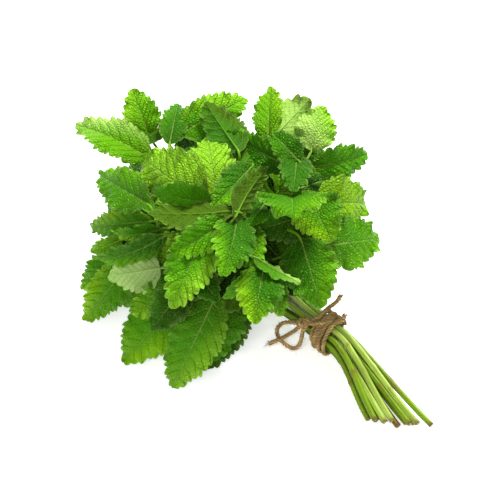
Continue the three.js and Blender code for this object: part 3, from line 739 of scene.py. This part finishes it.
def calc(tree, operation, first, second=None, third=None):
    made = node(tree, "ShaderNodeMath", operation=operation)
    for socket, value in zip(made.inputs, (first, second, third)):
        if value is None:
            continue
        if isinstance(value, (int, float)):
            socket.default_value = value
        else:
            tree.links.new(value, socket)
    return made.outputs[0]


def fadeBetween(tree, value, start, end):
    made = node(tree, "ShaderNodeMapRange", interpolation_type="SMOOTHSTEP")
    tree.links.new(value, made.inputs["Value"])
    made.inputs["From Min"].default_value = start
    made.inputs["From Max"].default_value = end
    return made.outputs["Result"]


def mixColour(tree, blend, factor, first, second):
    made = node(tree, "ShaderNodeMix", data_type="RGBA", blend_type=blend)
    for socket, value in ((made.inputs[0], factor), (made.inputs[6], first), (made.inputs[7], second)):
        if isinstance(value, (int, float)):
            socket.default_value = value
        elif isinstance(value, tuple):
            socket.default_value = (*value, 1)
        else:
            tree.links.new(value, socket)
    return made.outputs[2]


def uvParts(tree, name):
    source = node(tree, "ShaderNodeUVMap", uv_map=name)
    parts = node(tree, "ShaderNodeSeparateXYZ")
    tree.links.new(source.outputs[0], parts.inputs[0])
    return source.outputs[0], parts.outputs[0], parts.outputs[1]


def bump(tree, height, distance, strength, before=None):
    made = node(tree, "ShaderNodeBump")
    made.inputs["Distance"].default_value = distance
    made.inputs["Strength"].default_value = strength
    tree.links.new(height, made.inputs["Height"])
    if before:
        tree.links.new(before, made.inputs["Normal"])
    return made.outputs[0]


# A texture of soft patches, finer with more detail
def noiseAt(tree, spot, scale, detail, roughness=0.5):
    made = node(tree, "ShaderNodeTexNoise")
    made.inputs["Scale"].default_value = scale
    made.inputs["Detail"].default_value = detail
    made.inputs["Roughness"].default_value = roughness
    tree.links.new(spot, made.inputs["Vector"])
    return made.outputs["Fac"]


def stretched(tree, spot, stretch):
    made = node(tree, "ShaderNodeMapping")
    made.inputs["Scale"].default_value = stretch
    tree.links.new(spot, made.inputs["Vector"])
    return made.outputs[0]


def setFinish(shader, roughness, shine, tint):
    shader.inputs["Roughness"].default_value = roughness
    shader.inputs["Specular IOR Level"].default_value = shine
    shader.inputs["Specular Tint"].default_value = (*tint, 1)


leafFinish = {
    "cellSize": 1.7, "meshSize": 4.2, "veinWidth": 0.1, "bump": 0.0005, "through": 0.3,
    "upperRoughness": 0.36, "underRoughness": 0.62, "upperShine": 0.32, "underShine": 0.12,
    "shineTint": (0.65, 0.95, 0.1), "throughTint": (1.25, 1.2, 0.6), "cloud": (0.62, 0.8, 0.5),
    "veinPale": (0.36, 0.52, 0.1), "veinDark": (0.26, 0.54, 0.24), "netDark": (0.4, 0.58, 0.25),
    "paintedDomeHighlight": (0.1, 0.15, 0.02), "underPale": (0.26, 0.42, 0.07), "underVein": (0.22, 0.36, 0.06),
}


# How far each spot of the leaf is from the edge of its cell, in a net of cells of one size
def cellEdge(tree, leafPlace, size):
    cells = node(tree, "ShaderNodeTexVoronoi", voronoi_dimensions="2D", feature="DISTANCE_TO_EDGE")
    cells.inputs["Scale"].default_value = 100 / size
    tree.links.new(leafPlace, cells.inputs["Vector"])
    return cells.outputs["Distance"]


# Masks for the leaf's colour and height, each 1 on what it names
def leafMarks(tree):
    leafPlace, x, _ = uvParts(tree, "leafUv")
    _, veins, share = uvParts(tree, "veinUv")
    right = calc(tree, "GREATER_THAN", x, 0.0)
    beat = calc(tree, "ADD", veins, calc(tree, "MULTIPLY", right, 0.5))
    gap = calc(tree, "ABSOLUTE", calc(tree, "SUBTRACT", calc(tree, "FRACT", beat), 0.5))
    fromRib = calc(tree, "ABSOLUTE", calc(tree, "MULTIPLY", x, 100))
    fineCells = cellEdge(tree, leafPlace, leafFinish["cellSize"])
    wideCells = cellEdge(tree, leafPlace, leafFinish["meshSize"])
    return {
        "along": share,
        "sideVein": fadeBetween(tree, gap, 0.5 - leafFinish["veinWidth"], 0.5),
        "midrib": fadeBetween(tree, fromRib, 0.75, 0.25),
        "fineNet": fadeBetween(tree, fineCells, 0.16, 0.0),
        "wideNet": fadeBetween(tree, wideCells, 0.12, 0.0),
        "dome": fadeBetween(tree, fineCells, 0.0, 0.42),
        "blotch": noiseAt(tree, leafPlace, 9, 4),
    }


def upperColour(tree, tone, look, marks):
    darkLook = fadeBetween(tree, look, 0.4, 1.0)
    paleLook = fadeBetween(tree, look, 0.5, 0.2)
    netShare = calc(tree, "MULTIPLY", marks["fineNet"], calc(tree, "MULTIPLY_ADD", darkLook, -0.1, 0.28))
    shaded = mixColour(tree, "MULTIPLY", netShare, tone, leafFinish["netDark"])
    dark = calc(tree, "MAXIMUM", marks["sideVein"], calc(tree, "MULTIPLY", marks["wideNet"], 0.75))
    dark = calc(tree, "MULTIPLY", dark, calc(tree, "MULTIPLY", darkLook, 0.85))
    shaded = mixColour(tree, "MULTIPLY", dark, shaded, leafFinish["veinDark"])
    pale = calc(tree, "MULTIPLY", marks["sideVein"], calc(tree, "MULTIPLY", paleLook, 0.38))
    ribFade = calc(tree, "MULTIPLY_ADD", marks["along"], -0.45, 0.5)
    pale = calc(tree, "MAXIMUM", pale, calc(tree, "MULTIPLY", marks["midrib"], ribFade))
    shaded = mixColour(tree, "MIX", pale, shaded, leafFinish["veinPale"])
    # Painted highlight: the swollen middles of the cells are screened lighter, as if they caught the light
    paintedHighlightShare = calc(tree, "MULTIPLY", calc(tree, "MULTIPLY", marks["dome"], 0.4), marks["blotch"])
    return mixColour(tree, "SCREEN", paintedHighlightShare, shaded, leafFinish["paintedDomeHighlight"])


def underColour(tree, tone, marks):
    paled = mixColour(tree, "MIX", 0.08, tone, leafFinish["underPale"])
    sideShare = calc(tree, "MULTIPLY", marks["sideVein"], 0.4)
    veinShare = calc(tree, "MAXIMUM", sideShare, calc(tree, "MULTIPLY", marks["fineNet"], 0.15))
    return mixColour(tree, "MIX", veinShare, paled, leafFinish["underVein"])


def leafMaterial(name, isUpper):
    material, tree, shader = newMaterial(name)
    links = tree.links
    tone, look = node(tree, "ShaderNodeVertexColor", layer_name="tone").outputs
    marks = leafMarks(tree)
    shaded = upperColour(tree, tone, look, marks) if isUpper else underColour(tree, tone, marks)
    cloudy = calc(tree, "MULTIPLY", fadeBetween(tree, marks["blotch"], 0.3, 0.75), 0.5)
    shaded = mixColour(tree, "MULTIPLY", cloudy, shaded, leafFinish["cloud"])
    links.new(shaded, shader.inputs["Base Color"])
    face = "upper" if isUpper else "under"
    setFinish(shader, leafFinish[face + "Roughness"], leafFinish[face + "Shine"], leafFinish["shineTint"])
    raised = calc(tree, "ADD", marks["dome"], calc(tree, "MULTIPLY", marks["blotch"], 0.5))
    sunk = calc(tree, "MULTIPLY", calc(tree, "MAXIMUM", marks["sideVein"], marks["midrib"]), 1.2)
    height = calc(tree, "SUBTRACT", raised, sunk)
    if not isUpper:
        height = calc(tree, "MULTIPLY", height, -1.0)  # what sinks above stands out below
    links.new(bump(tree, height, leafFinish["bump"], 0.9 if isUpper else 0.6), shader.inputs["Normal"])
    through = node(tree, "ShaderNodeBsdfTranslucent")
    glow = mixColour(tree, "MULTIPLY", 1.0, shaded, leafFinish["throughTint"])
    links.new(glow, through.inputs["Color"])
    mixed = node(tree, "ShaderNodeMixShader")
    mixed.inputs[0].default_value = leafFinish["through"]
    links.new(shader.outputs[0], mixed.inputs[1])
    links.new(through.outputs[0], mixed.inputs[2])
    output = next(n for n in tree.nodes if n.type == "OUTPUT_MATERIAL")
    links.new(mixed.outputs[0], output.inputs["Surface"])
    return material


stemFinish = {
    "stretch": (9, 0.5, 1), "streak": (0.55, 0.72, 0.35), "spot": (0.2, 0.1, 0.06), "bump": 0.0004,
    "roughness": 0.38, "shine": 0.35, "shineTint": (0.8, 1, 0.4),
    "juice": 0.12, "juiceReach": (0.0012, 0.002, 0.0004),
}


def stemMaterial():
    material, tree, shader = newMaterial("greenStem")
    links = tree.links
    tone = node(tree, "ShaderNodeVertexColor", layer_name="tone").outputs[0]
    stemPlace, _, _ = uvParts(tree, "leafUv")
    streaks = noiseAt(tree, stretched(tree, stemPlace, stemFinish["stretch"]), 2.2, 5)
    streak = calc(tree, "MULTIPLY", fadeBetween(tree, streaks, 0.35, 0.7), 0.6)
    shaded = mixColour(tree, "MULTIPLY", streak, tone, stemFinish["streak"])
    coordinates = node(tree, "ShaderNodeTexCoord")
    spots = noiseAt(tree, coordinates.outputs["Object"], 60, 2)
    spot = calc(tree, "MULTIPLY", fadeBetween(tree, spots, 0.6, 0.76), 0.45)
    shaded = mixColour(tree, "MIX", spot, shaded, stemFinish["spot"])
    links.new(shaded, shader.inputs["Base Color"])
    setFinish(shader, stemFinish["roughness"], stemFinish["shine"], stemFinish["shineTint"])
    shader.inputs["Subsurface Weight"].default_value = stemFinish["juice"]
    shader.inputs["Subsurface Radius"].default_value = stemFinish["juiceReach"]
    links.new(bump(tree, streaks, stemFinish["bump"], 0.6), shader.inputs["Normal"])
    return material


leafUpper = leafMaterial("leafUpperFace", True)
leafUnder = leafMaterial("leafUnderFace", False)
greenStem = stemMaterial()
print("green materials made")


def finishPiece(bm, name, replaced, materials):
    bmesh.ops.scale(bm, vec=(mm, mm, mm), verts=bm.verts)
    mesh = bpy.data.meshes.new(name)
    bm.to_mesh(mesh)
    bm.free()
    for material in materials:
        mesh.materials.append(material)
    piece = bpy.data.objects.new(name, mesh)
    bpy.context.scene.collection.objects.link(piece)
    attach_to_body(piece, "root")
    if replaced:
        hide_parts(replaced)
    print(name, "has", sum(len(face.vertices) - 2 for face in mesh.polygons), "triangles")


for index in range(len(stemRows)):
    bm = bmesh.new()
    addStem(bm, index)
    addTipLeaves(bm, index)
    for k, petiole in enumerate(petioles):
        if petiole["stem"] == index:
            shades = 0.88 + 0.24 * chance(k, 3)
            underRib = addBlade(bm, petiole["leaf"], shades)
            addPetiole(bm, petiole, underRib, shades)
    for edge in bm.edges:
        if len(edge.link_faces) == 2 and {face.material_index for face in edge.link_faces} == {0, 1}:
            edge.smooth = False  # a crisp rim round each leaf
    number = f"{index + 1:02d}"
    greens = [leafUpper, leafUnder, greenStem]
    finishPiece(bm, f"leafyStem{number}", f"leafy_stem_{number}", greens)
print("leafy stems made")


# Twine: turns round the neck, a knot on the front, a loop to the left and loose strands
twine = {
    "radius": 1.35, "wrapRadius": 10.8, "turns": 4.5, "stepsPerTurn": 24, "width": 11, "middle": -2.28,
    "ply": 0.72, "plyOut": 0.7, "pitch": 6.5, "plyTwist": 0.9, "step": 0.7, "frayLength": 5,
    "knotPlace": (-12.5, 4, 20), "knotSize": 1.05, "fibres": 700, "frayed": 14,
    "tone": (0.86, 0.58, 0.24), "fibreTone": (0.5, 0.34, 0.17),
}
knotSpot = twine["knotPlace"]
strandPlaces = [
    [
        knotSpot, (-24, 4.5, 16), (-28.5, 1, 11), (-28, -4, 7), (-24, -8.5, 4), (-19, -11, 4), (-15, -8, 8),
        knotSpot,
    ],
    [knotSpot, (-20, -1.5, 14), (-27, -5.5, 9), (-33.5, -8, 4)],
    [knotSpot, (-5, 7, 23), (2, 13, 24), (7, 17, 24), (9.5, 20.5, 24)],
    [knotSpot, (-2, 4, 23), (6, 4.5, 22), (10, 5.5, 21), (12, 9, 21)],
]


# A smooth route through every point
def throughPoints(points, steps):
    points = np.array(points)
    padded = np.concatenate([[2 * points[0] - points[1]], points, [2 * points[-1] - points[-2]]])
    route = []
    for k in range(1, len(padded) - 2):
        a, b, c, d = padded[k - 1:k + 3]
        for u in np.arange(steps) / steps:
            route.append(0.5 * (2 * b + (c - a) * u + (2 * a - 5 * b + 4 * c - d) * u ** 2
                                + (3 * b - a - 3 * c + d) * u ** 3))
    route.append(points[-1])
    return np.array(route)


def wrapRoute():
    steps = int(twine["stepsPerTurn"] * twine["turns"])
    k = np.arange(steps + 1)
    turn = k / twine["stepsPerTurn"] * 2 * pi
    along = twine["middle"] + (k / steps - 0.5) * twine["width"] + 2 * np.sin(turn + 0.8)
    along = along + 0.9 * np.sin(turn * 0.74 + 2)
    radius = twine["wrapRadius"] + 0.3 + 0.55 * np.sin(turn * 0.61 + 1)  # some turns ride over others
    return np.stack([np.cos(turn) * radius, along, np.sin(turn) * radius + view["tieHeight"]], axis=1)


def knotRoute():
    t = np.linspace(0, 2 * pi, 49)
    curves = [np.sin(t) + 2 * np.sin(2 * t), np.cos(t) - 2 * np.cos(2 * t), -1.3 * np.sin(3 * t)]
    knotted = np.stack(curves, axis=1) * twine["knotSize"]
    spot = place(knotSpot)
    return spot + knotted[:, :1] * across + knotted[:, 1:2] * upward + knotted[:, 2:] * toViewer


def turnedFrames(route):
    ahead = np.gradient(route, axis=0)
    ahead = ahead / np.linalg.norm(ahead, axis=1, keepdims=True)
    side = unit(np.cross(ahead[0], vec(0.3, 0.5, 0.8)))
    sides = []
    for direction in ahead:
        side = unit(flatten(side, direction))  # carried along the route without twisting
        sides.append(side)
    sides = np.array(sides)
    return ahead, sides, np.cross(ahead, sides)


def addTwine(bm, route, fray, seed):
    length = np.append(0, np.cumsum(np.linalg.norm(np.diff(route, axis=0), axis=1)))
    even = np.linspace(0, length[-1], max(int(length[-1] / twine["step"]), 8))
    route = np.stack([np.interp(even, length, route[:, axis]) for axis in range(3)], axis=1)
    _, side, over = turnedFrames(route)
    frayed = fray * np.clip((even - even[-1] + twine["frayLength"]) / twine["frayLength"], 0, 1)
    for ply in range(3):
        turn = even / twine["pitch"] * 2 * pi + ply * 2 * pi / 3
        out = (twine["plyOut"] * (1 + frayed * 0.8))[:, None]
        path = route + (side * np.cos(turn)[:, None] + over * np.sin(turn)[:, None]) * out
        lump = 1 + 0.1 * np.sin(even * 1.3 + ply * 2 + seed) + 0.06 * np.sin(even * 3.7 + seed)
        radii = twine["ply"] * lump * (1 - frayed * 0.35)
        path[:, 2] = np.maximum(path[:, 2], radii)
        shade = (0.8 + 0.35 * chance(seed, ply)) * (1 + 0.12 * np.sin(even * 0.6 + ply))
        colour = np.array(twine["tone"]) * shade[:, None]
        guide = vec(0.31, 0.22, 0.92)
        addTube(bm, path, radii, np.ones(8), colour, guide, 0, turns=twine["plyTwist"], centre=route)


def addFibre(bm, start, direction, length, curl, shade, thickness=0.07):
    u = np.linspace(0, 1, 6)[:, None]
    sag = unit(np.cross(direction, vec(*curl)) + 1e-6) * length * 0.45
    route = start + direction * u * length + sag * u * u
    route[:, 2] = np.maximum(route[:, 2], 0.1)
    radii = thickness * (1 - 0.7 * u[:, 0])
    colour = np.tile(np.array(twine["fibreTone"]) * shade, (6, 1))
    addTube(bm, route, radii, np.ones(4), colour, vec(0.2, 0.3, 0.9), 0)


# Loose fibres all along a route
def addFibres(bm, route, seed, count):
    ahead, side, over = turnedFrames(route)
    for k in range(count):
        at = int(chance(k, seed + 1) * (len(route) - 1))
        angle = chance(k, seed + 7) * 2 * pi
        out = side[at] * cos(angle) + over[at] * sin(angle)
        direction = unit(out * (0.25 + 0.6 * chance(k, 9)) + ahead[at] * (1 if k % 2 else -1))
        curl = [chance(k, j + 20) - 0.5 for j in range(3)]
        start = route[at] + out * twine["radius"] * 0.75
        addFibre(bm, start, direction, 1.5 + 3.5 * chance(k, 13) ** 2, curl, 0.7 + 0.6 * chance(k, 4))


# A brush of thicker fibres at a frayed end
def addFrayedEnd(bm, route, seed):
    ahead, side, over = turnedFrames(route)
    for k in range(twine["frayed"]):
        angle = k * 2.4
        out = side[-1] * cos(angle) + over[-1] * sin(angle)
        direction = unit(ahead[-1] + out * (0.15 + 0.35 * chance(k, seed)))
        curl = [chance(k, j + 30) - 0.5 for j in range(3)]
        start = route[-1] + out * 0.6 - ahead[-1]
        addFibre(bm, start, direction, 2.5 + 2.5 * chance(k, seed + 2), curl, 1.1, 0.16)


def makeTwine(material):
    routes = [(wrapRoute(), 0), (knotRoute(), 0)]
    for number, places in enumerate(strandPlaces):
        points = [place(spot) for spot in places]
        routes.append((throughPoints(points, 10), 0 if number == 0 else 1))  # the loop isn't frayed
    bm = bmesh.new()
    for seed, (route, fray) in enumerate(routes):
        addTwine(bm, route, fray, seed)
    finishPiece(bm, "twineTie", "twine_tie", [material])
    hairs = bmesh.new()
    total = sum(len(route) for route, _ in routes)
    for seed, (route, fray) in enumerate(routes):
        addFibres(hairs, route, seed, int(twine["fibres"] * len(route) / total))
        if fray:
            addFrayedEnd(hairs, route, seed)
    finishPiece(hairs, "twineFibres", None, [material])


twineFinish = {
    "stretch": (14, 2.5, 1), "dark": (0.45, 0.38, 0.28), "light": (0.74, 0.54, 0.25), "roughness": 0.85,
    "shine": 0.2, "shineTint": (1, 0.8, 0.5), "bump": 0.0009,
}


def twineMaterial():
    material, tree, shader = newMaterial("juteTwine")
    links = tree.links
    tone = node(tree, "ShaderNodeVertexColor", layer_name="tone").outputs[0]
    strandPlace, _, _ = uvParts(tree, "leafUv")
    fibres = noiseAt(tree, stretched(tree, strandPlace, twineFinish["stretch"]), 1.6, 6, 0.65)
    dark = calc(tree, "MULTIPLY", fadeBetween(tree, fibres, 0.62, 0.32), 0.7)
    shaded = mixColour(tree, "MULTIPLY", dark, tone, twineFinish["dark"])
    light = calc(tree, "MULTIPLY", fadeBetween(tree, fibres, 0.5, 0.75), 0.55)
    shaded = mixColour(tree, "MIX", light, shaded, twineFinish["light"])
    links.new(shaded, shader.inputs["Base Color"])
    setFinish(shader, twineFinish["roughness"], twineFinish["shine"], twineFinish["shineTint"])
    links.new(bump(tree, fibres, twineFinish["bump"], 1.0), shader.inputs["Normal"])
    return material


makeTwine(twineMaterial())
print("twine made")


# Stage: a white table, a bright room and two soft lamps, each with its place, size and power
studio = {
    "tableReach": 3, "floor": 0.93, "floorGlow": 0.5, "room": 0.4, "aim": (-0.01, 0.06, 0.04),
    "lamps": [("keyLamp", (0.8, 0.35, 1.15), 0.35, 38), ("fillLamp", (-0.9, -0.35, 1.2), 0.8, 10)],
}


def makeTable():
    bm = bmesh.new()
    bmesh.ops.create_grid(bm, x_segments=2, y_segments=2, size=studio["tableReach"])
    mesh = bpy.data.meshes.new("whiteTable")
    bm.to_mesh(mesh)
    bm.free()
    material, _, shader = newMaterial("whiteTable")
    shader.inputs["Base Color"].default_value = (studio["floor"],) * 3 + (1,)
    setFinish(shader, 0.9, 0.1, (1, 1, 1))
    shader.inputs["Emission Color"].default_value = (1, 1, 1, 1)
    shader.inputs["Emission Strength"].default_value = studio["floorGlow"]
    mesh.materials.append(material)
    table = bpy.data.objects.new("whiteTable", mesh)
    bpy.context.scene.collection.objects.link(table)


def makeLight():
    world = bpy.data.worlds.new("room")
    world.use_nodes = True
    background = world.node_tree.nodes["Background"]
    background.inputs["Color"].default_value = (1, 1, 1, 1)
    background.inputs["Strength"].default_value = studio["room"]
    bpy.context.scene.world = world
    for name, spot, size, power in studio["lamps"]:
        data = bpy.data.lights.new(name, "AREA")
        data.size = size
        data.energy = power
        lamp = bpy.data.objects.new(name, data)
        lamp.location = spot
        aim = Vector(studio["aim"]) - Vector(spot)
        lamp.rotation_euler = aim.to_track_quat("-Z", "Y").to_euler()
        bpy.context.scene.collection.objects.link(lamp)
    bpy.context.scene.view_settings.view_transform = "Standard"


makeCamera()
makeTable()
makeLight()
print("camera, table and lamps set")
